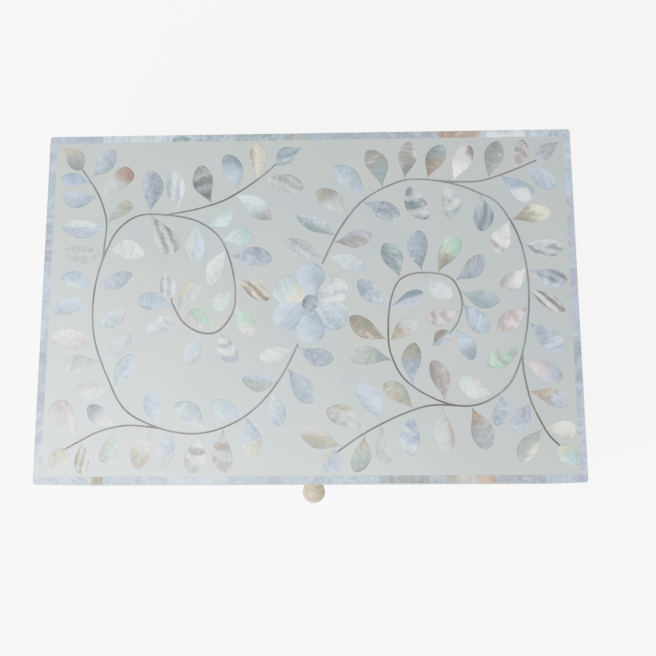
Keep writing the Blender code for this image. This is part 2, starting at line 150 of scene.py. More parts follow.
# Each stem has a route on the lid's grid, its leaves and the bud at its end. A leaf is: how far along the
# stem it springs, the way it points in degrees from the lid's right, length, width, shade and second shade,
# then its figure and form, where they aren't clouds and a drop. A bud is the same without the distance: it
# grows from the stem's end.
LEFT_VINE = ({
    "route": ((-5.5, -23.6), (-9, -31), (-14.4, -41.4), (-21.7, -51.7), (-29.4, -59.8), (-40, -67.3),
              (-54.4, -72.7), (-69, -73.6), (-86, -69.5), (-102.7, -60), (-113, -42), (-120.8, -21.8),
              (-123, -3), (-121.3, 15.4), (-116.5, 31.2), (-109.9, 44.2), (-98, 52.4), (-81.3, 52.4),
              (-64.7, 48.8), (-52.2, 40.1), (-45.6, 27.7), (-41.7, 10.4), (-42.5, -4.6), (-50.6, -15.9),
              (-60.6, -16.9), (-70.8, -10.9), (-77.2, -0.1), (-77.9, 3.6)),
    "leaves": (
        (3, 195, 21, 9.5, "ice", "pearl"), (2, 338, 22, 10, "steel", "mist", "cap"),
        (15, 305, 24.5, 11, "mist", "steel"), (24, 178, 20.5, 10, "lavender", "sage", "split", "almond"),
        (31, 285, 20, 9, "sky", "ice"), (50, 161, 21, 9.5, "mint", "sky"),
        (50, 278, 24, 10.5, "sky", "cream", "cap"), (64, 271, 25, 11, "silver", "tan", "bands"),
        (75, 135, 23.5, 11, "sky", "ice"), (77, 256, 22.5, 11, "pearl", "mauve", "bands"),
        (93, 251, 20, 9.5, "sky", "pearl", "cap"), (101, 108, 21, 9, "sky", "ice", "tip"),
        (134, 69, 24.5, 10, "sky", "ice", "streaks"), (137, 180, 20.5, 9, "pearl", "mint", "streaks"),
        (155, 191, 24, 10, "silver", "ice"), (152, 50, 23, 9, "pearl", "lavender"),
        (168, 177, 26, 11.5, "white", "rose", "tip", "almond"), (176, 23, 20, 9, "sky", "ice"),
        (187, 182, 23.5, 9.5, "sky", "lavender", "cap"), (198, 161, 21, 9, "sky", "ice", "rim"),
        (198.5, 19, 22.5, 9, "mist", "lavender", "clouds", "almond"),
        (219, 178, 24.5, 10, "silver", "sage", "rim", "almond"),
        (222, 352, 22, 11, "ice", "pearl", "clouds", "almond"),
        (255.5, 88, 26.5, 12, "steel", "mist", "streaks"),
        (256, 302, 27.5, 11.5, "silver", "stone", "streaks", "blunt"),
        (283, 269, 25, 11, "ice", "sky", "split"), (290.5, 28, 17, 8, "aqua", "mint"),
        (303, 8, 17.5, 10.5, "mint", "aqua", "cap"),
        (309, 247, 23.5, 9.5, "ice", "pearl", "clouds", "almond"), (313, 356, 25, 11, "steel", "lavender"),
        (327, 329, 23.5, 8.5, "brown", "cream", "streaks"), (332, 228, 17.5, 9, "ice", "aqua"),
        (342, 300, 21.5, 10, "green", "pearl", "cap"), (359, 293, 21, 10.5, "pearl", "lilac", "bands"),
        (362, 145, 19.5, 9, "green", "rose", "split", "blunt"), (370, 247, 20, 9, "ice", "sky"),
        (384, 196, 20, 9, "lavender", "ice"), (389, 57, 22, 10, "silver", "cream", "rim"),
        (393, 169, 21.5, 10, "sky", "steel", "rim"),
    ),
    "bud": (109, 17, 10, "mist", "pearl", "streaks"),
}, {
    "route": ((-118.2, 27), (-117.6, 36.4), (-116.9, 46.4), (-118.6, 55.9), (-123.6, 67.6),
              (-132.7, 81.2)),
    "leaves": (
        (18.5, 179, 26, 10.5, "mint", "lavender", "split", "almond"),
        (21.5, 40, 18.5, 7.5, "sage", "olive", "cap", "blunt"), (38, 182, 22, 10, "lavender", "steel"),
        (38, 41, 24.5, 10.5, "silver", "amber", "cap", "blunt"), (47, 169, 19, 8, "sky", "blue"),
        (51, 49, 22.5, 10.5, "mist", "lavender", "streaks"),
    ),
    "bud": (130, 19, 11, "grey", "khaki", "tip"),
}, {
    "route": ((-84, 52.4), (-75, 53.8), (-64.4, 55.9), (-50, 60.4), (-38.3, 67), (-26.7, 75.3),
              (-18.4, 82.8)),
    "leaves": (
        (9, 99, 26, 11, "ice", "mist", "streaks"), (29, 108, 25, 11.5, "smoke", "grey", "bands"),
        (46, 107, 24.5, 11, "sky", "slate", "cap"), (59.5, 92, 22.5, 9.5, "cream", "brown", "rim"),
        (44, 324, 26, 11, "mint", "mauve", "cap", "almond"), (61, 346, 26, 11, "sage", "silver", "streaks"),
    ),
    "bud": (32, 18, 10.5, "mist", "slate", "streaks"),
}, {
    "route": ((-82, -70.8), (-91.3, -69.6), (-101, -69), (-110, -70.4), (-118.6, -73.1),
              (-126.5, -77.2), (-134.7, -81.7)),
    "leaves": (
        (5, 250, 24, 11, "pearl", "khaki", "cap"), (24, 148, 21, 9.5, "pearl", "steel", "cap"),
        (25, 254, 21, 9, "green", "rose", "streaks", "blunt"),
        (46.5, 126, 26.5, 12.5, "pearl", "rose", "clouds", "blunt"),
        (45, 270, 19.3, 8, "khaki", "ice", "streaks"),
    ),
    "bud": (232, 17, 10, "cream", "lavender", "streaks"),
})
RIGHT_VINE = ({
    "route": ((8.2, 22.4), (12.4, 31.6), (19.1, 44.2), (29.1, 57.3), (40.2, 65.3), (53, 70.9),
              (62, 72.2), (75.8, 70.9), (88.7, 67.6), (99.8, 62.7), (108.1, 58.1), (115.3, 47.8),
              (120.9, 34.9), (124.2, 17.7), (124.6, 1), (122.6, -17), (118.4, -34), (111.4, -47.8),
              (98.1, -57.3), (83.7, -59.2), (68, -54.2), (53.6, -43.9), (46.4, -29.5), (45.2, -15.7),
              (46.8, 0.4), (52.5, 12.8), (65.2, 16.6), (80.9, 13.3), (87, 0.4), (84.8, -11),
              (80.3, -17.9)),
    "leaves": (
        (3, 155, 25.5, 9.5, "silver", "lilac", "streaks"), (5, 345, 23.5, 9, "ice", "sky"),
        (14, 10, 23, 10, "mauve", "lilac", "rim"), (18, 150, 26, 9.5, "mist", "teal", "split", "almond"),
        (31.5, 137, 24, 11, "silver", "olive", "cap"), (47.5, 134, 27, 11, "sky", "mist"),
        (43.5, 337, 23.5, 10.5, "slate", "mist"), (58, 107, 25, 12, "teal", "stone", "cap"),
        (71.5, 81, 24, 10.5, "stone", "mauve", "bands"),
        (72.5, 295, 26.5, 11.5, "slate", "silver", "bands"), (84.5, 66, 23, 10.5, "brown", "teal", "cap"),
        (93.5, 286, 24.5, 10.5, "silver", "teal", "bands"),
        (116.5, 272, 22.5, 11, "slate", "mist", "streaks"), (140, 248, 21, 11, "silver", "brown", "bands"),
        (140.5, 12, 23.5, 10.5, "olive", "cream", "cap"),
        (155, 352, 24.5, 10.5, "slate", "silver", "streaks"),
        (169.5, 220, 19, 9.5, "silver", "olive", "cap"),
        (171, 343, 23.2, 9.5, "lavender", "stone", "streaks"),
        (182, 326, 24, 8, "stone", "pearl", "streaks", "almond"),
        (192, 217, 22, 10, "rose", "tan", "bands"), (201, 320, 25.5, 11, "steel", "sky"),
        (216, 204, 23, 10, "sage", "green", "bands"), (248, 157, 22, 10.5, "pearl", "aqua", "bands"),
        (243.5, 259, 20, 8, "steel", "mist"), (263.5, 290, 25.5, 12, "grey", "amber", "tip"),
        (278, 103, 24.5, 10, "mauve", "brown", "streaks"), (298, 88, 24.5, 10.5, "steel", "olive", "cap"),
        (316, 173, 25, 10.5, "sage", "teal", "tip"), (328, 149, 25.5, 10.5, "olive", "brown", "split"),
        (327, 38, 20, 9.5, "khaki", "silver", "cap"), (347, 139, 23.5, 10, "steel", "lavender"),
        (347.5, 22, 20.5, 8.5, "lavender", "slate", "split"),
        (364.5, 111, 23, 11, "teal", "slate", "streaks"), (378, 96, 25, 11.5, "steel", "slate", "tip"),
        (379, 315, 21, 9.5, "ice", "lavender"), (386.5, 61, 23.5, 11, "olive", "green", "cap", "blunt"),
        (397, 39, 22.5, 10, "steel", "olive", "rim"), (404, 346, 23, 10.5, "mist", "teal"),
        (415, 194, 20.5, 9, "rose", "grey", "bands"), (410.5, 309, 22, 11, "steel", "sky"),
        (425.5, 299, 21, 9, "sky", "slate", "cap"),
    ),
    "bud": (218, 14, 9, "steel", "brown", "rim"),
}, {
    "route": ((76, 70.9), (88.7, 70.2), (98.7, 70.5), (106.4, 72.4), (118.1, 76.6), (132.4, 82.7)),
    "leaves": (
        # The first leaf's white is a painted glint, where its pearl catches the light.
        (8, 65, 24, 10.5, "white", "bark", "cap"), (28, 74, 24, 10.5, "grey", "stone"),
        (35.5, 322, 22.5, 10.5, "blue", "steel", "cap", "blunt"),
        (44.5, 72, 19, 8, "mauve", "rose", "bands"), (51, 320, 21.5, 10, "lavender", "sky", "cap"),
    ),
    "bud": (39, 18, 9, "mauve", "mist", "clouds"),
}, {
    "route": ((119.6, -30), (120.1, -41), (122.8, -55.3), (126.7, -65.1), (132, -75.1),
              (137.8, -81.3)),
    "leaves": (
        (4, 333, 24, 10, "rose", "lavender", "cap"), (21.5, 342, 23.5, 9.5, "tan", "lavender", "cap"),
        (27, 241, 20, 10, "lilac", "lavender"), (44, 356, 16.7, 9, "pearl", "cream", "bands", "blunt"),
        (43, 233, 23.5, 10, "sage", "cream", "rim"),
    ),
    "bud": (306, 16, 10.5, "aqua", "cream", "cap"),
}, {
    "route": ((84, -59.2), (70.8, -58.7), (60.2, -60.8), (45.2, -66.8), (30.2, -74.7), (16.3, -84.1)),
    "leaves": (
        (9, 274, 26.5, 10.5, "silver", "tan", "rim"), (25.5, 137, 22.5, 10, "khaki", "sage"),
        (26.5, 267, 25, 10.5, "blue", "ice", "bands"), (45, 119, 25.5, 11.5, "sky", "lavender"),
        (46, 279, 22, 10, "silver", "grey"), (53.5, 152, 26, 11.5, "khaki", "silver"),
        (56, 258, 21.9, 10, "sage", "tan", "tip"), (69.5, 159, 26, 11, "silver", "khaki"),
    ),
    "bud": (231, 15.5, 12, "lavender", "cream", "rim"),
})

# Petals anticlockwise from the one that points to the back
PETAL_SHADES = (
    ("sky", "mist", "clouds"),
    ("mint", "cream", "tip"),
    ("sky", "lavender", "streaks"),
    ("sky", "mist", "clouds"),
    ("sky", "mist", "streaks"),
    ("ice", "mist", "streaks"),
)

# Border strips along each side, in the solids' order: shade and second shade
STRIPS = {
    "back": (("lavender", "steel"), ("sky", "ice"), ("teal", "sky"), ("steel", "lavender"), ("teal", "mist"),
             ("sage", "olive"), ("mist", "steel"), ("steel", "mist"), ("amber", "tan"), ("steel", "sky")),
    "front": (("lavender", "ice"), ("tan", "olive"), ("lavender", "sky"), ("ice", "sky"), ("sky", "mist"),
              ("mist", "sky"), ("grey", "mist"), ("khaki", "sage"), ("rose", "khaki"), ("peach", "amber"),
              ("grey", "mist"), ("lavender", "blue")),
    "left": (("lavender", "ice"), ("lavender", "steel"), ("lavender", "sky"), ("steel", "lavender"),
             ("lavender", "steel")),
    "right": (("lavender", "rose"), ("lavender", "sky"), ("steel", "lavender"), ("lavender", "lilac"),
              ("lavender", "mist"), ("lavender", "sky")),
}

# Camera, fitted to the lid's four corners
CAMERA_AT = (0.0267, -0.1056, 0.6073)
CAMERA_AIM = (0.0113, -0.0149, 0.102)
CAMERA_ROLL = -10.01
LENS = 50.0
SENSOR = 36.0

# Floor and light: the floor and the sky glow for the camera alone. A light is: name, place, aim, size, power.
WHITE = (1.0, 1.0, 1.0, 1.0)
FLOOR_COLOUR = (0.85, 0.85, 0.85, 1.0)
FLOOR_GLOW = 7.0
FLOOR_HALF = 40.0
DAYLIGHT = 0.65
LIGHTS = (("window", (-0.38, -0.43, 0.57), (-0.06, -0.06, 0.1), 0.5, 12.8),
          ("lamp", (0.27, 0.42, 1.02), (0.10, 0.07, 0.1), 0.12, 1.4))


# Curves and outlines

def smooth_curve(route, steps=24):
    """A Catmull-Rom curve through the route's own points."""
    knots = np.array(route, dtype=float)
    knots = np.vstack((2 * knots[0] - knots[1], knots, 2 * knots[-1] - knots[-2]))
    curve = []
    for before, here, after, beyond in zip(knots, knots[1:], knots[2:], knots[3:]):
        for step in range(steps):
            t = step / steps
            curve.append(0.5 * (2 * here + (after - before) * t
                                + (2 * before - 5 * here + 4 * after - beyond) * t ** 2
                                + (3 * here - before - 3 * after + beyond) * t ** 3))
    curve.append(knots[-2])
    return np.array(curve)


def distances(line):
    return np.concatenate(((0.0,), np.cumsum(np.linalg.norm(np.diff(line, axis=0), axis=1))))


def along(line, distance):
    run = distances(line)
    return np.array([np.interp(distance, run, line[:, axis]) for axis in (0, 1)])


def heading(degrees):
    return np.array((math.cos(math.radians(degrees)), math.sin(math.radians(degrees))))


def leaf_half_width(share, form):
    """Half the width of a leaf, out of its full width, at a share of its length from the tip."""
    widest, tip_power, end_power, fullness = {
        "drop": (0.62, 1.80, 2.0, 0.60),
        "almond": (0.56, 1.35, 1.8, 0.74),
        "blunt": (0.72, 1.45, 3.0, 0.40),
        "petal": (0.58, 0.80, 2.1, 0.48),
    }[form]
    if share < widest:
        rise = math.sin(0.5 * math.pi * share / widest) ** tip_power
        if form != "petal":
            return 0.5 * rise
        room = (PETAL_START + PETAL_LENGTH * share) * math.tan(math.pi / PETALS) - PETAL_GAP
        return min(0.5 * (PETAL_FOOT + (1 - PETAL_FOOT) * rise), room / PETAL_WIDTH)
    beyond = (share - widest) / (1 - widest)
    return 0.5 * max(0.0, 1 - beyond ** end_power) ** fullness


# Meshes, objects and node trees

def mesh_data(name, mesh):
    data = bpy.data.meshes.new(name)
    mesh.to_mesh(data)
    mesh.free()
    return data


def add_object(name, data):
    made = bpy.data.objects.new(name, data)
    bpy.context.collection.objects.link(made)
    return made


class Bench:
    """Short calls for adding nodes to a tree. An underscore in an input's name stands for a space."""

    def __init__(self, tree):
        self.tree = tree

    def put(self, socket, value):
        if isinstance(value, bpy.types.NodeSocket):
            self.tree.links.new(value, socket)
        elif value is not None:
            socket.default_value = value

    def feed(self, node, **values):
        for name, value in values.items():
            self.put(node.inputs[name.replace("_", " ")], value)
        return node.outputs

    def node(self, kind, settings=None):
        made = self.tree.nodes.new(kind)
        for name, value in (settings or {}).items():
            setattr(made, name, value)
        return made

    def add(self, kind, settings=None, **values):
        return self.feed(self.node(kind, settings), **values)

    def first(self, kind, settings, *values):
        """The first output of a node whose inputs are given in their own order."""
        made = self.node(kind, settings)
        for socket, value in zip(made.inputs, values):
            self.put(socket, value)
        return made.outputs[0]

    def work(self, operation, first, second=None, clamp=False):
        return self.first("ShaderNodeMath", {"operation": operation, "use_clamp": clamp}, first, second)

    def times(self, first, second, clamp=False):
        return self.work("MULTIPLY", first, second, clamp)

    def plus(self, first, second, clamp=False):
        return self.work("ADD", first, second, clamp)

    def vector(self, operation, first, second):
        return self.first("ShaderNodeVectorMath", {"operation": operation}, first, second)

    def scale(self, vector, factor):
        """A vector made longer, or a colour made lighter, by a factor."""
        return self.add("ShaderNodeVectorMath", {"operation": "SCALE"}, Vector=vector, Scale=factor)[0]

    def join(self, x, y, z):
        return self.first("ShaderNodeCombineXYZ", {}, x, y, z)

    def split(self, vector):
        return self.add("ShaderNodeSeparateXYZ", Vector=vector)

    def noise(self, vector, scale, detail=2.0, roughness=0.5, distortion=0.0):
        return self.add("ShaderNodeTexNoise", Vector=vector, Scale=scale, Detail=detail, Roughness=roughness,
                        Distortion=distortion)["Fac"]

    def turned(self, vector, turn):
        """A vector turned about the three axes by the angles in another."""
        settings = {"rotation_type": "EULER_XYZ"}
        return self.add("ShaderNodeVectorRotate", settings, Vector=vector, Rotation=turn)[0]

    def ramp(self, value, low, high, start=0.0, end=1.0):
        """A smooth step of a value from one level to another."""
        return self.add("ShaderNodeMapRange", {"interpolation_type": "SMOOTHSTEP"}, Value=value, From_Min=low,
                        From_Max=high, To_Min=start, To_Max=end)["Result"]

    def mix(self, factor, first, second, blend="MIX"):
        made = self.node("ShaderNodeMix", {"data_type": "RGBA", "blend_type": blend})
        for socket, value in (("Factor", factor), (6, first), (7, second)):
            self.put(made.inputs[socket], value)
        return made.outputs[2]

    def attribute(self, name):
        return self.add("ShaderNodeAttribute", {"attribute_name": name})


def node_group(name, kind, inputs, outputs):
    """A new group with its inputs, each with a value where one is given, and its outputs."""
    tree = bpy.data.node_groups.new(name, kind)
    for way, sockets in (("INPUT", inputs), ("OUTPUT", outputs)):
        for label, form, *value in sockets:
            made = tree.interface.new_socket(label, in_out=way, socket_type=f"NodeSocket{form}")
            if value:
                made.default_value = value[0]
    return tree, tree.nodes.new("NodeGroupInput").outputs, tree.nodes.new("NodeGroupOutput").inputs


# Leaves, set by Geometry Nodes on a cloud of points

# Each form is cut with a lean to one side or the other, as by hand
LEANS = (0.0, 0.16, -0.13, 0.08, -0.20)
LEAN_BEND = 0.30
FORMS = tuple(f"{form}_{lean}" for form in ("drop", "almond", "blunt") for lean in range(len(LEANS)))
FORMS += ("petal", "disc", "strip")
LEAF_STEPS = 15
DISC_STEPS = 40
SEED_STEP = 0.618


def form_outline(form):
    """A leaf one long and one wide, from its tip at the origin towards +X."""
    if form == "disc":
        turns = [2 * math.pi * step / DISC_STEPS for step in range(DISC_STEPS)]
        return [(0.5 * math.cos(turn), 0.5 * math.sin(turn)) for turn in turns]
    if form == "strip":
        return [(0.0, -0.5), (1.0, -0.5), (1.0, 0.5), (0.0, 0.5)]
    shares = [0.5 - 0.5 * math.cos(math.pi * step / LEAF_STEPS) for step in range(LEAF_STEPS + 1)]
    kind, _, number = form.partition("_")
    lean = LEANS[int(number)] if number else 0.0
    middle = [lean * LEAN_BEND * math.sin(1.5 * math.pi * share) for share in shares]
    right = [(share, bend - (1 - lean) * leaf_half_width(share, kind)) for share, bend in zip(shares, middle)]
    left = [(share, bend + (1 + lean) * leaf_half_width(share, kind)) for share, bend in zip(shares, middle)]
    left.reverse()
    outline = right + left[1:]
    if form != "petal":
        outline = outline[:-1]
    return outline


def leaf_form(form, collection):
    """A thin closed slip of shell. Its upper edge is marked for the dark line round it, a joint line that
    painted shade deepens on the leaf's shaded side, and its UV runs along it.
    """
    outline = form_outline(form)
    middle = Vector(({"disc": 0.0, "strip": 0.5}.get(form, 0.58), 0.0))
    mesh = bmesh.new()
    rim = mesh.verts.layers.float.new("rim")
    top = [mesh.verts.new((x, y, 0.0)) for x, y in outline]
    low = [mesh.verts.new((x, y, -SHELL_DEPTH)) for x, y in outline]
    inner = [mesh.verts.new((*(middle + (Vector(point) - middle) * 0.9), 0.0)) for point in outline]
    for vert in top + low:
        vert[rim] = 1.0
    for here in range(len(outline)):
        after = (here + 1) % len(outline)
        mesh.faces.new((low[here], low[after], top[after], top[here]))
        mesh.faces.new((top[here], top[after], inner[after], inner[here]))
    mesh.faces.new(inner)
    mesh.faces.new(low[::-1])
    place = mesh.loops.layers.uv.new("figure")
    for face in mesh.faces:
        for loop in face.loops:
            loop[place].uv = (loop.vert.co.x, loop.vert.co.y + 0.5)
    collection.objects.link(bpy.data.objects.new(f"form_{FORMS.index(form):02}", mesh_data(form, mesh)))


def leaf_setting_tree():
    """Sets one form on each point, turned and sized by the point's own attributes."""
    tree, given, made = node_group(
        "shell setting", "GeometryNodeTree",
        (("Points", "Geometry"), ("Forms", "Collection"), ("Size", "Float", 1.0), ("Finish", "Material")),
        (("Leaves", "Geometry"),))
    bench = Bench(tree)
    form, turn, size = [
        bench.add("GeometryNodeInputNamedAttribute", {"data_type": kind}, Name=name)["Attribute"]
        for name, kind in (("form", "INT"), ("turn", "FLOAT"), ("size", "FLOAT_VECTOR"))]
    shapes = bench.add("GeometryNodeCollectionInfo", Collection=given["Forms"], Separate_Children=True,
                       Reset_Children=True)
    placed = bench.add("GeometryNodeInstanceOnPoints", Points=given["Points"], Instance=shapes["Instances"],
                       Pick_Instance=True, Instance_Index=form, Rotation=bench.join(0.0, 0.0, turn),
                       Scale=bench.vector("MULTIPLY", size, bench.join(given["Size"], given["Size"], 1.0)))
    real = bench.add("GeometryNodeRealizeInstances", Geometry=placed["Instances"])
    finished = bench.add("GeometryNodeSetMaterial", Geometry=real["Geometry"], Material=given["Finish"])
    bench.put(made["Leaves"], finished["Geometry"])
    return tree


def bake(name, start, tree, values):
    """Runs a Geometry Nodes tree over a mesh and keeps the result as a plain piece."""
    worker = add_object(name + "_start", start)
    modifier = worker.modifiers.new("make", "NODES")
    modifier.node_group = tree
    sockets = {item.name: item.identifier for item in tree.interface.items_tree if item.item_type == "SOCKET"}
    for label, value in values.items():
        modifier[sockets[label]] = value
    graph = bpy.context.evaluated_depsgraph_get()
    graph.update()
    data = bpy.data.meshes.new_from_object(worker.evaluated_get(graph), preserve_all_data_layers=True,
                                           depsgraph=graph)
    data.name = name
    bpy.data.objects.remove(worker, do_unlink=True)
    return add_object(name, data)


def tone(shade):
    """The share of light that a surface gives back to look like a named shade on the lid."""
    values = [(value / (SCREEN_TOP - value) / SCREEN_SLOPE) ** SCREEN_POWER for value in SHADES[shade]]
    return (*(min(0.95, value / LID_LIGHT) for value in values), 1.0)


def leaf_points(leaves, step, top):
    """Points that carry each leaf's form, turn, size, shades and figure."""
    mesh = bpy.data.meshes.new("leaf points")
    mesh.from_pydata([(*(laid["at"] * step), top) for laid in leaves], [], [])
    kinds = {"turn": "FLOAT", "form": "INT", "seed": "FLOAT", "size": "FLOAT_VECTOR", "shade": "FLOAT_COLOR",
             "second": "FLOAT_COLOR", "figure_ends": "FLOAT_VECTOR", "figure_lines": "FLOAT_VECTOR"}
    for name, kind in kinds.items():
        mesh.attributes.new(name, kind, "POINT")
    layers = {name: mesh.attributes[name] for name in kinds}
    for number, laid in enumerate(leaves):
        figure = [1.0 if laid["figure"] == name else 0.0 for name in FIGURES]
        form = laid["form"]
        if form not in FORMS:
            form = f"{form}_{(number * 7 + int(laid['length'])) % len(LEANS)}"
        layers["turn"].data[number].value = math.radians(laid["bearing"])
        layers["form"].data[number].value = FORMS.index(form)
        layers["seed"].data[number].value = (number * SEED_STEP + laid["at"][0] * 0.037) % 1.0
        layers["size"].data[number].vector = (laid["length"] * MM, laid["width"] * MM, 1.0)
        for name in ("shade", "second"):
            layers[name].data[number].color = tone(laid[name])
        layers["figure_ends"].data[number].vector = figure[0:3]
        layers["figure_lines"].data[number].vector = figure[3:6]
    return mesh


def leaf(at, bearing, length, width, shade, second, figure="clouds", form="drop"):
    """A leaf, petal or strip as laid: where its tip is, how it points, and how it looks."""
    return {"at": at, "bearing": bearing, "length": length, "width": width, "shade": shade, "second": second,
            "figure": figure, "form": form}


def stem_leaves(stems):
    """Every leaf and bud of a vine. A bud's tip points away from the stem."""
    found = []
    for stem in stems:
        curve = smooth_curve(stem["route"])
        for distance, bearing, length, width, *look in stem["leaves"]:
            found.append(leaf(along(curve, distance), bearing, length, LEAF_FULLNESS * width, *look))
        bearing, length, *look = stem["bud"]
        found.append(leaf(curve[-1] + length * heading(bearing), bearing + 180, length, *look))
    return found


# Wires, swept by Geometry Nodes along their routes

def wire_tree():
    """A flat-backed wire along each line of the mesh, polished to a low dome."""
    tree, given, made = node_group(
        "bent wire", "GeometryNodeTree",
        (("Lines", "Geometry"), ("Width", "Float", WIRE_WIDTH), ("Depth", "Float", WIRE_DEPTH),
         ("Finish", "Material")), (("Wire", "Geometry"),))
    bench = Bench(tree)
    line = bench.add("GeometryNodeMeshToCurve", Mesh=given["Lines"])
    upright = bench.add("GeometryNodeSetCurveNormal", {"mode": "Z_UP"}, Curve=line["Curve"])
    profile = bench.add("GeometryNodeCurvePrimitiveCircle", Resolution=12, Radius=0.5)
    flattened = bench.add("GeometryNodeTransform", Geometry=profile["Curve"],
                          Scale=bench.join(given["Width"], given["Depth"], 1.0))
    swept = bench.add("GeometryNodeCurveToMesh", Curve=upright["Curve"], Profile_Curve=flattened["Geometry"],
                      Fill_Caps=True)
    finished = bench.add("GeometryNodeSetMaterial", Geometry=swept["Mesh"], Material=given["Finish"])
    bench.put(made["Wire"], finished["Geometry"])
    return tree


# Materials

def shell_figure_group():
    """The colour of mother-of-pearl: two shades laid in one of the figures, with growth lines, painted light
    and shade by each leaf's tilt, painted sheen and glints, and dark edge lines that painted shade deepens.
    """
    tree, given, made = node_group(
        "shell figure", "ShaderNodeTree",
        (("Shade", "Color"), ("Second", "Color"), ("Along", "Float"), ("Across", "Float"), ("Ends", "Vector"),
         ("Lines", "Vector"), ("Seed", "Float"), ("Place", "Vector"), ("Worn", "Float")),
        (("Colour", "Color"), ("Height", "Float"), ("Gloss", "Float")))
    bench = Bench(tree)
    times, plus, work = bench.times, bench.plus, bench.work
    place = bench.vector("ADD", given["Place"], bench.scale(bench.join(61.0, 17.0, 29.0), given["Seed"]))
    grown = bench.turned(place, bench.scale(bench.join(2.1, 3.7, 17.0), given["Seed"]))
    drawn = bench.vector("MULTIPLY", grown, bench.join(0.16, 0.9, 0.9))
    satin = bench.noise(drawn, 0.50, 4.0, 0.60, 0.5)
    silk = bench.noise(drawn, 1.50, 3.0, 0.60, 0.3)
    broad = bench.noise(place, 0.10, 1.5, 0.5, 0.6)
    wobble = work("SUBTRACT", bench.noise(place, 0.13, 2.0), 0.5)
    frayed = work("SUBTRACT", satin, 0.5)
    along = plus(given["Along"], plus(times(wobble, 0.5), times(frayed, 0.35)))
    across = plus(given["Across"], plus(wobble, times(frayed, 0.3)))

    cap = bench.ramp(along, 0.42, 0.80)
    tip = bench.ramp(along, 0.22, 0.60, 1.0, 0.0)
    half = bench.ramp(across, -0.16, 0.16)
    edge = bench.ramp(across, 0.10, 0.65)
    curve = times(times(given["Across"], given["Across"]), 1.6)
    band_phase = plus(times(given["Along"], 17.0), plus(curve, times(wobble, 6.0)))
    uneven = bench.ramp(broad, 0.30, 0.60, 0.35, 1.0)
    bands = times(bench.ramp(work("SINE", band_phase), -0.7, 0.9), uneven)
    streak_phase = plus(times(given["Across"], 6.5), plus(times(given["Along"], 6.0), times(wobble, 5.0)))
    streaks = times(bench.ramp(work("SINE", streak_phase), -0.7, 0.9), uneven)
    clouds = bench.ramp(plus(times(broad, 0.7), times(satin, 0.3)), 0.36, 0.64)

    weights = [*bench.split(given["Ends"]), *bench.split(given["Lines"])]
    chosen = times(cap, weights[0])
    spoken_for = weights[0]
    for mask, weight in zip((tip, half, edge, bands, streaks), weights[1:]):
        chosen = plus(chosen, times(mask, weight))
        spoken_for = plus(spoken_for, weight)
    rest = times(clouds, work("SUBTRACT", 1.0, spoken_for, clamp=True))
    chosen = plus(chosen, rest, clamp=True)
    colour = bench.mix(times(chosen, 0.92), given["Shade"], given["Second"])

    # Painted light and shade: each leaf is painted lighter on one side and darker on the other, as if tilted
    # to the light, and painted sheen runs along its satin and silk streaks.
    turn = times(given["Seed"], 41.0)
    tilt = plus(times(work("SINE", turn), given["Across"]),
                times(work("COSINE", turn), work("SUBTRACT", given["Along"], 0.5)))
    slope = plus(tilt, times(wobble, 0.8))
    painted_side_light = bench.ramp(slope, -0.7, 0.7, 0.76, 1.24)
    satin_light = bench.ramp(satin, 0.30, 0.70, 0.74, 1.27)
    silk_light = bench.ramp(silk, 0.30, 0.70, 0.94, 1.06)
    light = times(painted_side_light, times(satin_light, silk_light))
    colour = bench.scale(colour, light)
    hue = bench.noise(grown, 0.14, 1.5, 0.5, 0.8)
    tint = bench.mix(bench.ramp(hue, 0.36, 0.64), (1.025, 0.985, 1.0, 1.0), (0.975, 1.015, 1.005, 1.0))
    colour = bench.mix(1.0, colour, tint, "MULTIPLY")
    # Painted glints: patches of satin on a leaf's lit side are painted towards white.
    painted_glint = times(bench.ramp(satin, 0.56, 0.68), bench.ramp(slope, 0.0, 0.5))
    colour = bench.mix(times(painted_glint, 0.55), colour, tone("white"))
    seam = times(bench.ramp(work("ABSOLUTE", across), 0.0, 0.13, 1.0, 0.0), weights[2])
    # The dark line round each leaf is partly a joint line and partly painted shade, darker on the leaf's
    # shaded side.
    shaded_side = bench.ramp(slope, -0.45, 0.25, 1.0, 0.15)
    outline = times(bench.ramp(given["Worn"], 0.10, 0.85), shaded_side)
    dark = plus(times(seam, 0.35), times(outline, 0.55), clamp=True)
    colour = bench.mix(dark, colour, tone("rim"))
    relief = plus(bench.noise(place, 0.12, 0.0), times(satin, 0.02))
    bench.put(made["Colour"], colour)
    bench.put(made["Height"], plus(relief, times(tilt, 4.0)))
    bench.put(made["Gloss"], bench.ramp(silk, 0.3, 0.7, 0.34, 0.46))
    return tree


def new_material(name):
    """A material with its shader, and the place on the object in millimetres."""
    made = bpy.data.materials.new(name)
    made.use_nodes = True
    bench = Bench(made.node_tree)
    shader = made.node_tree.nodes["Principled BSDF"]
    place = bench.scale(bench.add("ShaderNodeTexCoord")["Object"], 1 / MM)
    return made, bench, shader, place


def bump(bench, shader, height, strength, distance):
    normal = bench.add("ShaderNodeBump", Strength=strength, Distance=distance, Height=height)["Normal"]
    bench.put(shader.inputs["Normal"], normal)


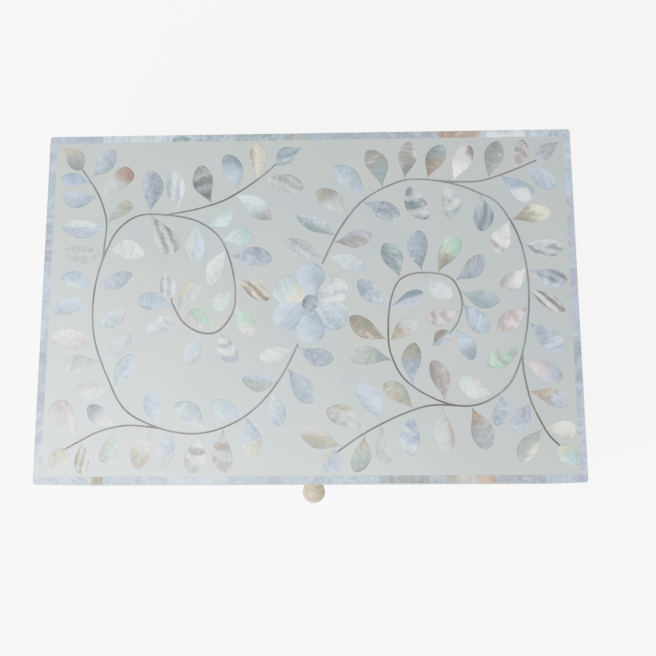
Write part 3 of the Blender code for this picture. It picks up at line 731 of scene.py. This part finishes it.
def leaf_shell(figure_group):
    """Shell whose shades and figure come with each leaf."""
    made, bench, shader, place = new_material("mother-of-pearl leaves")
    uv = bench.split(bench.add("ShaderNodeUVMap", {"uv_map": "figure"})["UV"])
    finish_shell(
        bench, shader, figure_group, Shade=bench.attribute("shade")["Color"],
        Second=bench.attribute("second")["Color"], Along=uv[0],
        Across=bench.work("SUBTRACT", bench.times(uv[1], 2.0), 1.0),
        Ends=bench.attribute("figure_ends")["Vector"], Lines=bench.attribute("figure_lines")["Vector"],
        Seed=bench.attribute("seed")["Fac"], Place=place, Worn=bench.attribute("rim")["Fac"])
    return made


def finish_shell(bench, shader, figure_group, **values):
    out = bench.add("ShaderNodeGroup", {"node_tree": figure_group}, **values)
    bench.feed(shader, Base_Color=out["Colour"], Roughness=out["Gloss"], Coat_Weight=0.8, Coat_Roughness=0.08)
    bump(bench, shader, out["Height"], 0.5, 0.35 * MM)
    bench.put(shader.inputs["Coat Normal"], shader.inputs["Normal"].links[0].from_socket)


def strip_shell(figure_group, shade, second, seed):
    """Shell of one border strip, in soft clouds."""
    made, bench, shader, place = new_material(f"mother-of-pearl strip {seed}")
    finish_shell(bench, shader, figure_group, Shade=tone(shade), Second=tone(second), Along=0.5, Across=0.0,
                 Seed=seed * SEED_STEP, Place=place, Worn=0.0)
    return made


def resin_ground():
    """Pale filled resin, ground flat: soft clouds of white, grey and a breath of lavender, with pinholes, and
    painted light and shade: lighter towards the front left, darker towards the back right.
    """
    made, bench, shader, place = new_material("pale resin")
    clouds = bench.ramp(bench.noise(place, 0.012, 3.0, 0.55, 0.4), 0.38, 0.62)
    drift = bench.ramp(bench.noise(bench.vector("ADD", place, (400.0, 90.0, 10.0)), 0.022, 2.0), 0.42, 0.62)
    colour = bench.mix(clouds, tone("resin cool"), tone("resin green"))
    colour = bench.mix(bench.times(drift, 0.6), colour, tone("resin warm"))
    x, y = bench.split(place)[0:2]
    # Painted light and shade: the ground is painted lighter towards the front left and darker towards the
    # back right.
    painted_light_gradient = bench.plus(bench.times(y, 0.004), bench.times(x, 0.0022))
    colour = bench.mix(bench.ramp(painted_light_gradient, -0.35, 0.6, 0.0, 0.4), colour, tone("resin painted shade"))
    colour = bench.mix(bench.ramp(painted_light_gradient, -0.7, 0.0, 0.8, 0.0), colour, tone("resin painted light"))
    grain = bench.noise(place, 1.4, 4.0, 0.6)
    colour = bench.scale(colour, bench.ramp(grain, 0.3, 0.7, 0.97, 1.03))
    pits = bench.add("ShaderNodeTexVoronoi", Vector=place, Scale=0.12)["Distance"]
    hole = bench.ramp(pits, 0.012, 0.03, 1.0, 0.0)
    colour = bench.mix(bench.times(hole, 0.4), colour, tone("smoke"))
    bench.feed(shader, Base_Color=colour, Roughness=bench.ramp(grain, 0.3, 0.7, 0.46, 0.6))
    bump(bench, shader, bench.work("SUBTRACT", bench.times(grain, 0.25), hole), 0.3, 0.08 * MM)
    return made


def wire_metal():
    """Dull brown-grey wire with brighter rubbed lengths."""
    made, bench, shader, place = new_material("stem wire")
    patch = bench.ramp(bench.noise(place, 0.035, 2.0, 0.5, 0.5), 0.38, 0.60)
    colour = bench.mix(patch, tone("wire brown"), tone("wire"))
    elsewhere = bench.vector("ADD", place, (200.0, 0.0, 0.0))
    dim = bench.ramp(bench.noise(elsewhere, 0.03, 1.0), 0.42, 0.60, 0.78, 1.2)
    colour = bench.scale(colour, dim)
    tarnish = bench.noise(place, 0.9, 4.0, 0.65)
    colour = bench.scale(colour, bench.ramp(tarnish, 0.3, 0.7, 0.78, 1.15))
    bench.feed(shader, Base_Color=colour, Metallic=0.2, Roughness=bench.ramp(tarnish, 0.3, 0.7, 0.34, 0.50))
    bump(bench, shader, tarnish, 0.25, 0.06 * MM)
    return made


def bone():
    """Polished cream bone with faint rings and fine dark pores."""
    made, bench, shader, place = new_material("cream bone")
    rings = bench.noise(bench.vector("MULTIPLY", place, (0.25, 1.0, 0.25)), 0.5, 3.0, 0.5, 0.6)
    colour = bench.mix(bench.ramp(rings, 0.35, 0.65), tone("knob dark"), tone("knob light"))
    pores = bench.noise(bench.vector("MULTIPLY", place, (1.0, 0.25, 1.0)), 3.2, 3.0, 0.6)
    colour = bench.mix(bench.ramp(pores, 0.62, 0.72, 0.0, 0.35), colour, tone("brown"))
    bench.feed(shader, Base_Color=colour, Roughness=bench.ramp(pores, 0.3, 0.7, 0.25, 0.42))
    bench.feed(shader, Coat_Weight=0.2)
    bump(bench, shader, pores, 0.2, 0.12 * MM)
    return made


def board_wood(name, lengthwise):
    """Light brown sanded board with long grain, lacquered thinly."""
    made, bench, shader, place = new_material(name)
    squeeze = {"x": (0.04, 1.0, 1.0), "y": (1.0, 0.04, 1.0)}[lengthwise]
    drawn = bench.vector("MULTIPLY", place, squeeze)
    figure = bench.noise(drawn, 0.10, 3.0, 0.55, 0.8)
    lines = bench.ramp(bench.work("SINE", bench.times(figure, 60.0)), -0.6, 1.0)
    fibre = bench.noise(drawn, 1.6, 4.0, 0.65)
    colour = bench.mix(lines, (0.40, 0.27, 0.16, 1.0), (0.50, 0.36, 0.23, 1.0))
    colour = bench.scale(colour, bench.ramp(fibre, 0.25, 0.75, 0.78, 1.16))
    bench.feed(shader, Base_Color=colour, Roughness=bench.ramp(fibre, 0.3, 0.7, 0.42, 0.62))
    bump(bench, shader, bench.plus(fibre, bench.times(lines, 0.4)), 0.35, 0.15 * MM)
    return made


def felt():
    """Dark felt glued under the base."""
    made, bench, shader, place = new_material("green-grey felt")
    fluff = bench.noise(place, 1.1, 5.0, 0.7, 0.5)
    worn = bench.noise(place, 0.02, 2.0)
    colour = bench.mix(bench.ramp(worn, 0.35, 0.65), (0.10, 0.12, 0.125, 1.0), (0.135, 0.155, 0.16, 1.0))
    colour = bench.scale(colour, bench.ramp(fluff, 0.3, 0.7, 0.75, 1.25))
    bench.feed(shader, Base_Color=colour, Roughness=0.95, Sheen_Weight=0.4)
    bump(bench, shader, fluff, 0.7, 0.4 * MM)
    return made


# Plain pieces in mesh code

def new_piece(name, mesh, finish, replaced=()):
    bmesh.ops.recalc_face_normals(mesh, faces=mesh.faces)
    piece = add_object(name, mesh_data(name, mesh))
    piece.data.materials.append(finish)
    settle(piece, replaced)
    return piece


def settle(piece, replaced):
    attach(piece, "root")
    if replaced:
        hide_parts(*replaced)


def round_plan(half_x, half_y, radius, steps=8):
    """A rectangle with rounded corners, anticlockwise."""
    outline = []
    for quarter, (x_sign, y_sign) in enumerate(((1, 1), (-1, 1), (-1, -1), (1, -1))):
        for step in range(steps + 1):
            turn = 0.5 * math.pi * (quarter + step / steps)
            outline.append((x_sign * (half_x - radius) + radius * math.cos(turn),
                            y_sign * (half_y - radius) + radius * math.sin(turn)))
    return outline


def add_prism(mesh, outline, bottom, top):
    low = [mesh.verts.new((x, y, bottom)) for x, y in outline]
    high = [mesh.verts.new((x, y, top)) for x, y in outline]
    mesh.faces.new(low[::-1])
    mesh.faces.new(high)
    for here in range(len(outline)):
        after = (here + 1) % len(outline)
        mesh.faces.new((low[here], low[after], high[after], high[here]))


def soften(piece, width, segments=2):
    bevel = piece.modifiers.new("worn edges", "BEVEL")
    bevel.width = width
    bevel.segments = segments
    bevel.limit_method = "ANGLE"
    bevel.angle_limit = SHARP_EDGE
    bevel.harden_normals = True


def lid_resin(finish):
    """The lid's resin: a plate under the border strips, and the field that the inlay lies in."""
    low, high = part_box("lid_ground")
    mesh = bmesh.new()
    under = high[2] - JOINT_DROP
    add_prism(mesh, round_plan(high[0] - SKIN_INSET, high[1] - SKIN_INSET, CORNER_RADIUS), low[2], under)
    inset = BORDER_WIDTH + FIELD_GAP
    add_prism(mesh, round_plan(high[0] - inset, high[1] - inset, FIELD_RADIUS), under, high[2] - RESIN_DROP)
    return new_piece("lid_resin", mesh, finish, ["lid_ground"])


def skin(name, node, finish):
    """A resin skin round the boards, a hair inside the box of the solid that it stands for."""
    low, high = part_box(node)
    outer = round_plan(high[0] - SKIN_INSET, high[1] - SKIN_INSET, CORNER_RADIUS)
    inner = round_plan(high[0] - SKIN_DEPTH, high[1] - SKIN_DEPTH, INNER_RADIUS)
    mesh = bmesh.new()
    rings = [[mesh.verts.new((x, y, z)) for x, y in outline]
             for outline, z in ((outer, low[2]), (outer, high[2]), (inner, high[2]), (inner, low[2]))]
    for ring, following in zip(rings, rings[1:] + rings[:1]):
        for here in range(len(ring)):
            after = (here + 1) % len(ring)
            mesh.faces.new((ring[here], ring[after], following[after], following[here]))
    piece = new_piece(name, mesh, finish, [node])
    soften(piece, EDGE_WEAR)


def side_frame(side):
    """A matrix that stands flat work up on one side of the box, and how long that side is."""
    low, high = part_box("base_cladding")
    half_x, half_y = high[0], high[1]
    turn = {"front": 0, "right": 90, "back": 180, "left": 270}[side]
    out = half_y if side in ("front", "back") else half_x
    half = half_x if side in ("front", "back") else half_y
    stand = Matrix.Rotation(math.radians(90), 4, "X")
    return Matrix.Rotation(math.radians(turn), 4, "Z") @ Matrix.Translation((0.0, -out, 0.0)) @ stand, half


def strip_row(length, height, first):
    """Shell strips laid end to end along a side, centred on a height."""
    count = round(length / SIDE_STRIP_RUN)
    run = length / count
    row = []
    for number in range(count):
        shade, second, figure = SIDE_SHADES[(first + 4 * number) % len(SIDE_SHADES)]
        corner = np.array((-length / 2 + number * run + SIDE_STRIP_JOINT, height))
        row.append(leaf(corner, 0, run - 2 * SIDE_STRIP_JOINT, SIDE_STRIP, shade, second, form="strip"))
    return row


def running_vine(length, height, first):
    """A wavy stem along a side, with leaves on both sides of it."""
    reach = length / 2 - SIDE_END
    steps = [reach * (2 * step / 160 - 1) for step in range(161)]
    curve = np.array([(x, height + SIDE_SWING * math.sin(2 * math.pi * x / SIDE_WAVE)) for x in steps])
    total = distances(curve)[-1]
    count = int(total // SIDE_LEAF_STEP)
    leaves = []
    for number in range(count + 1):
        distance = total * number / count
        tip = along(curve, distance)
        before, after = along(curve, max(0.0, distance - 1)), along(curve, min(total, distance + 1))
        course = math.degrees(math.atan2(after[1] - before[1], after[0] - before[0]))
        lean = 0 if number == count else SIDE_LEAF_LEAN * (-1) ** number
        look = SIDE_SHADES[(first + 2 * number) % len(SIDE_SHADES)]
        leaves.append(leaf(tip, course + lean if number else course + 180, *SIDE_LEAF, *look))
    return curve, leaves


def dress_side(side, first):
    """Strips along the edges of one side and a running vine on the base, stood up on that side."""
    stand, half = side_frame(side)
    length = 2 * (half - CORNER_RADIUS) / MM
    base_low, base_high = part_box("base_cladding")
    lid_low, lid_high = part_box("lid_cladding")
    heights = [(level / MM) + nudge * (SIDE_STRIP / 2 + 0.6) for level, nudge in
               ((base_low[2], 1), (base_high[2], -1), (lid_low[2], 1))]
    laid = []
    for number, height in enumerate(heights):
        laid += strip_row(length, height, first + number)
    curve, leaves = running_vine(length, (heights[0] + heights[1]) / 2, first)
    laid += leaves
    for piece, slot in ((lay_shell(f"side_shell_{side}", laid, MM, 0.0), "shell"),
                        (lay_wire(f"side_stem_{side}", [curve], MM, 0.0), None)):
        piece.data.transform(stand)
        settle(piece, ())


def underside(wood, cloth):
    """The base's bottom board, and the cloth glued under it."""
    low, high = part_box("base_board")
    mesh = bmesh.new()
    add_prism(mesh, round_plan(high[0], high[1], BOARD_RADIUS, 2), low[2] + FELT_DEPTH, high[2])
    new_piece("bottom_board", mesh, wood, ["base_board"])
    mesh = bmesh.new()
    outline = round_plan(high[0] - FELT_INSET, high[1] - FELT_INSET, FELT_RADIUS)
    add_prism(mesh, outline, low[2], low[2] + FELT_DEPTH)
    new_piece("felt", mesh, cloth)


def knob(finish):
    """A turned ball, a little flattened where it meets the lid."""
    low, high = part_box("knob")
    low, high = Vector(low), Vector(high)
    radius = (high.z - low.z) / 2
    centre = Vector(((low.x + high.x) / 2, low.y + radius, (low.z + high.z) / 2))
    mesh = bmesh.new()
    bmesh.ops.create_uvsphere(mesh, u_segments=48, v_segments=32, radius=radius)
    bmesh.ops.rotate(mesh, verts=mesh.verts, matrix=Matrix.Rotation(math.pi / 2, 3, "X"))
    reach = high.y - centre.y
    geometry = [*mesh.verts, *mesh.edges, *mesh.faces]
    cut = bmesh.ops.bisect_plane(mesh, geom=geometry, plane_co=(0, reach, 0), plane_no=(0, 1, 0),
                                 clear_outer=True)
    rim = [part for part in cut["geom_cut"] if isinstance(part, bmesh.types.BMEdge)]
    bmesh.ops.contextual_create(mesh, geom=rim)
    bmesh.ops.translate(mesh, verts=mesh.verts, vec=centre)
    piece = new_piece("turned_knob", mesh, finish, ["knob"])
    piece.data.shade_smooth()
    piece.data.set_sharp_from_angle(angle=SHARP_EDGE)


# Putting the box together

def line_mesh(lines):
    """One mesh of bare edges along each line."""
    verts = []
    edges = []
    for line in lines:
        edges += [(len(verts) + step, len(verts) + step + 1) for step in range(len(line) - 1)]
        verts += [tuple(point) for point in line]
    mesh = bpy.data.meshes.new("wire lines")
    mesh.from_pydata(verts, edges, [])
    return mesh


def lay_shell(name, leaves, step, top):
    """Leaves laid flush. Their places are counted in steps of a given size."""
    points = leaf_points(leaves, step, top - SHELL_DROP)
    return bake(name, points, setting, {"Forms": forms, "Finish": shell})


def lay_wire(name, curves, step, top):
    lines = [[(*(point * step), top - WIRE_DEPTH / 2) for point in curve] for curve in curves]
    piece = bake(name, line_mesh(lines), wire, {"Finish": metal})
    piece.data.set_sharp_from_angle(angle=FLAT_TOP)
    return piece


def lay_vine(name, stems):
    settle(lay_shell(f"{name}_leaves", stem_leaves(stems), square, top), [name])
    curves = [smooth_curve(stem["route"], WIRE_STEPS) for stem in stems]
    settle(lay_wire(f"{name}_wire", curves, square, top), [name])


def lay_flower():
    centre = np.array(FLOWER_CENTRE)
    pieces = []
    for number, look in enumerate(PETAL_SHADES):
        bearing = 90 + 360 / PETALS * number
        foot = centre + PETAL_START * heading(bearing)
        pieces.append(leaf(foot, bearing, PETAL_LENGTH, PETAL_WIDTH, *look, form="petal"))
    pieces.append(leaf(centre, 0, 2 * DISC_RADIUS, 2 * DISC_RADIUS, "slate", "mist", form="disc"))
    replaced = [f"petal_{number + 1}" for number in range(PETALS)] + ["flower_centre"]
    settle(lay_shell("flower", pieces, square, top), replaced)


def finish_border(figure_group):
    seed = 1
    for side, strips in STRIPS.items():
        for number, (shade, second) in enumerate(strips, start=1):
            node = frame["nodes"][f"border_{side}_{number}"]
            node.material_slots[0].material = strip_shell(figure_group, shade, second, seed)
            seed += 1


def finish_boards():
    along_x = board_wood("board with grain lengthwise", "x")
    along_y = board_wood("board with grain crosswise", "y")
    for name, node in frame["nodes"].items():
        if name.endswith(("_left", "_right")) and ("wall" in name or "rail" in name):
            node.material_slots[0].material = along_y
        elif "wall" in name or "rail" in name or name == "lid_board":
            node.material_slots[0].material = along_x
    underside(along_x, felt())


def area_light(name, place, aim, size, power):
    data = bpy.data.lights.new(name, "AREA")
    data.shape = "DISK"
    data.size = size
    data.energy = power
    light = add_object(name, data)
    light.location = place
    light.rotation_euler = (Vector(aim) - Vector(place)).to_track_quat("-Z", "Y").to_euler()


def set_stage():
    mesh = bmesh.new()
    bmesh.ops.create_grid(mesh, x_segments=1, y_segments=1, size=FLOOR_HALF)
    floor = add_object("floor", mesh_data("floor", mesh))
    white, bench, shader, place = new_material("white floor")
    seen = bench.add("ShaderNodeLightPath")["Is Camera Ray"]
    bench.feed(shader, Base_Color=FLOOR_COLOUR, Roughness=0.8, Emission_Color=WHITE,
               Emission_Strength=bench.times(seen, FLOOR_GLOW))
    floor.data.materials.append(white)

    world = bpy.data.worlds.new("studio")
    bpy.context.scene.world = world
    world.use_nodes = True
    bench = Bench(world.node_tree)
    seen = bench.add("ShaderNodeLightPath")["Is Camera Ray"]
    bench.feed(world.node_tree.nodes["Background"], Color=WHITE,
               Strength=bench.plus(bench.times(seen, FLOOR_GLOW), DAYLIGHT))
    for light in LIGHTS:
        area_light(*light)


def set_camera():
    data = bpy.data.cameras.new("camera")
    data.lens = LENS
    data.sensor_width = SENSOR
    data.clip_start = 0.01
    camera = add_object("camera", data)
    camera.location = CAMERA_AT
    look = (Vector(CAMERA_AIM) - Vector(CAMERA_AT)).to_track_quat("-Z", "Y")
    camera.rotation_euler = (look.to_matrix() @ Matrix.Rotation(math.radians(CAMERA_ROLL), 3, "Z")).to_euler()
    bpy.context.scene.camera = camera


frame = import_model()

lid_low, lid_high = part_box("lid_ground")
top = lid_high[2]
field = np.array(lid_high[:2]) - BORDER_WIDTH
square = 2 * field / (GRID_COLUMNS, GRID_ROWS)

forms = bpy.data.collections.new("leaf forms")
for form in FORMS:
    leaf_form(form, forms)
setting = leaf_setting_tree()
wire = wire_tree()
figure_group = shell_figure_group()
shell = leaf_shell(figure_group)
metal = wire_metal()
resin = resin_ground()

lid_resin(resin)
lay_vine("vine_left", LEFT_VINE)
lay_vine("vine_right", RIGHT_VINE)
lay_flower()
finish_border(figure_group)
knob(bone())
finish_boards()
skin("base_skin", "base_cladding", resin)
skin("lid_skin", "lid_cladding", resin)
for number, side in enumerate(("front", "right", "back", "left")):
    dress_side(side, 3 * number)
for piece in list(forms.objects):
    bpy.data.objects.remove(piece, do_unlink=True)
bpy.data.collections.remove(forms)

set_stage()
set_camera()
